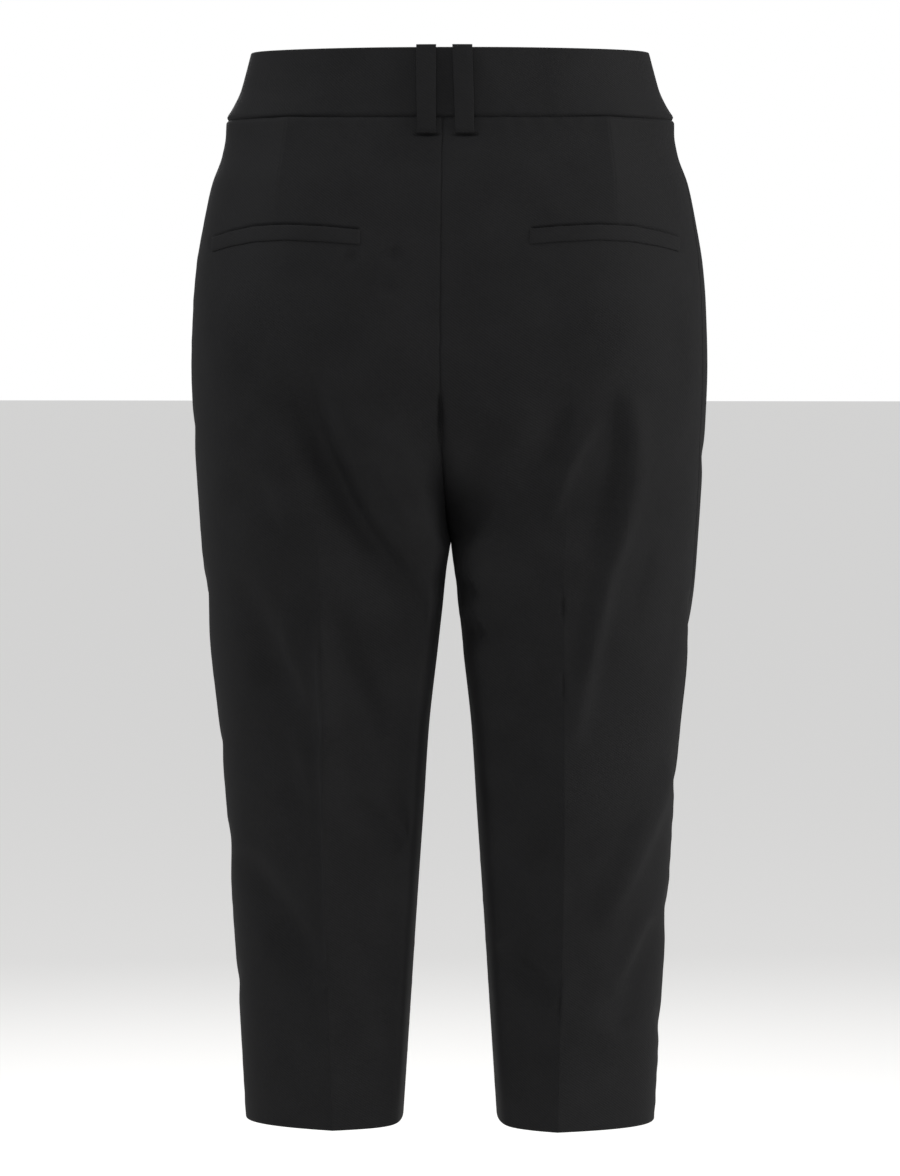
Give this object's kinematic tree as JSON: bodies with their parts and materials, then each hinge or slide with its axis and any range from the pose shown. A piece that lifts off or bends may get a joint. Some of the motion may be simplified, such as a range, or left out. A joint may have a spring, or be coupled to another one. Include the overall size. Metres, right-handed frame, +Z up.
{
  "type": "capri trousers",
  "caption": "Slim capri trousers in smooth black suiting: shaped waistband, belt loops, welt pockets at the back, pressed creases, hollow as worn.",
  "frame": {"origin": "centre of the waist, halfway up the waistband, where the wearer holds the trousers up", "axes": "+Z up towards the waist, -Y towards the front, +X towards the wearer's left"},
  "size_m": [0.3593, 0.2369, 0.7478],
  "materials": {
    "suiting": "smooth dull woven"
  },
  "bodies": {
    "root": {"waistband_back": "suiting", "waistband_front_left": "suiting", "waistband_front_right": "suiting", "back_left": "suiting", "back_right": "suiting", "front_left": "suiting", "front_right": "suiting", "welt_left": "suiting", "welt_right": "suiting", "belt_loop_back_left": "suiting", "belt_loop_back_right": "suiting", "belt_loop_front_left": "suiting", "belt_loop_front_right": "suiting"}
  },
  "joints": []
}
